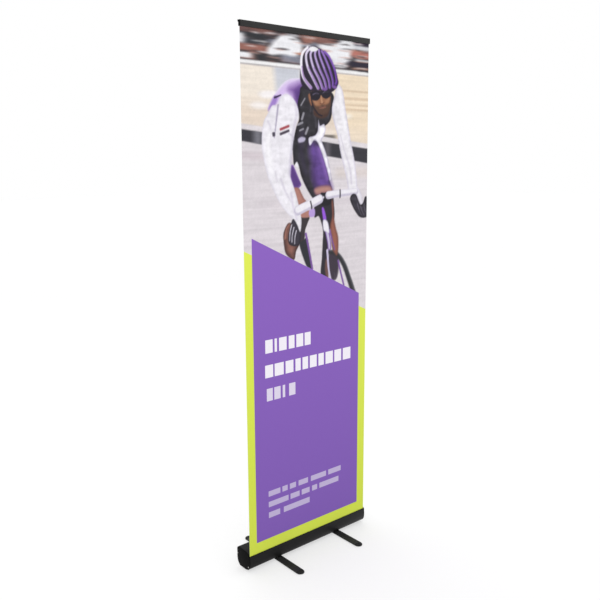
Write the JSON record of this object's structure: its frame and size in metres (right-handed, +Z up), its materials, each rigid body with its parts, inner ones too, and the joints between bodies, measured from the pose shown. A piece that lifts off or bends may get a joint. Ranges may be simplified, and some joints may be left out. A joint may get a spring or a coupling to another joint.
{
  "type": "roll-up banner stand",
  "caption": "Free-standing retractable banner: sprung roller in an aluminium cassette, tall printed sheet, clamp rail, sectional pole and swivel feet.",
  "frame": {"origin": "on the floor, midway between the two foot pivots", "axes": "+X along the cassette to the right as seen from the front, +Y to the back, +Z up; the print faces -Y"},
  "size_m": [0.6112, 0.36, 1.987],
  "materials": {
    "black_anodised": "satin black anodised extrusion with fine die lines",
    "grey_anodised": "satin charcoal anodised extrusion",
    "black_plastic": "moulded black plastic, fine texture",
    "printed_film": "satin laminated print on flexible film",
    "leader_film": "plain pale leader film",
    "mill_aluminium": "plain drawn aluminium",
    "steel": "bright zinc-plated steel",
    "nylon": "natural nylon",
    "rubber": "black rubber",
    "elastic": "braided elastic cord"
  },
  "bodies": {
    "base": {"cassette_body": "black_anodised", "end_cap_left": "black_plastic", "end_cap_right": "black_plastic", "cap_screw_left_back": "steel", "cap_screw_left_front": "steel", "cap_screw_right_back": "steel", "cap_screw_right_front": "steel", "pole_socket": "black_plastic", "idler_pin": "steel", "spring_arbor": "steel", "roller_spring": "steel", "leader_film": "leader_film", "printed_sheet": "printed_film"},
    "foot_left": {"foot_bar_left": "black_anodised", "foot_tip_left_front": "black_plastic", "foot_tip_left_back": "black_plastic", "foot_pad_left_front": "rubber", "foot_pad_left_back": "rubber", "foot_pivot_left": "steel", "pivot_washer_left": "nylon", "pivot_nut_left": "steel"},
    "foot_right": {"foot_bar_right": "black_anodised", "foot_tip_right_front": "black_plastic", "foot_tip_right_back": "black_plastic", "foot_pad_right_front": "rubber", "foot_pad_right_back": "rubber", "foot_pivot_right": "steel", "pivot_washer_right": "nylon", "pivot_nut_right": "steel"},
    "roller": {"roller_tube": "mill_aluminium", "leader_wraps": "leader_film", "roller_plug_left": "nylon", "roller_plug_right": "nylon", "spring_hub": "nylon"},
    "rail": {"rail_body": "grey_anodised", "rail_wedge": "nylon", "rail_cap_left": "black_plastic", "rail_cap_right": "black_plastic", "rail_clip": "black_plastic"},
    "knob": {"clip_knob": "black_plastic"},
    "pole_lower": {"pole_lower": "black_anodised", "pole_foot_plug": "black_plastic", "ferrule_lower": "mill_aluminium", "elastic_cord": "elastic"},
    "pole_middle": {"pole_middle": "black_anodised", "ferrule_upper": "mill_aluminium"},
    "pole_upper": {"pole_upper": "black_anodised", "pole_top_cap": "black_plastic"}
  },
  "joints": [
    {"name": "foot_left_swivel", "type": "hinge", "parent": "base", "child": "foot_left", "pos_m": [-0.154, 0, 0], "axis": [0, 0, 1], "range_deg": [0, 83]},
    {"name": "foot_right_swivel", "type": "hinge", "parent": "base", "child": "foot_right", "pos_m": [0.154, 0, 0], "axis": [0, 0, 1], "range_deg": [0, 83]},
    {"name": "rail_lower", "type": "slide", "parent": "base", "child": "rail", "axis": [0, 0, 1], "range_m": [-1.888, 0], "deforming": ["printed_sheet"]},
    {"name": "roller_turn", "type": "hinge", "parent": "base", "child": "roller", "pos_m": [0, -0.017, 0.0346], "axis": [1, 0, 0], "range_deg": [0, 6400]},
    {"name": "knob_turn", "type": "hinge", "parent": "rail", "child": "knob", "pos_m": [0, 0.03, 1.97665], "axis": [0, 1, 0], "range_deg": [-180, 180]},
    {"name": "pole_lift", "type": "slide", "parent": "base", "child": "pole_lower", "axis": [0, 0, 1], "range_m": [0, 0.045]},
    {"name": "pole_middle_pull", "type": "slide", "parent": "pole_lower", "child": "pole_middle", "axis": [0, 0, 1], "range_m": [0, 0.05]},
    {"name": "pole_upper_pull", "type": "slide", "parent": "pole_middle", "child": "pole_upper", "axis": [0, 0, 1], "range_m": [0, 0.05]}
  ],
  "couplings": [
    {"joint": "roller_turn", "follows": "rail_lower", "rad_per_m": -58.82}
  ]
}
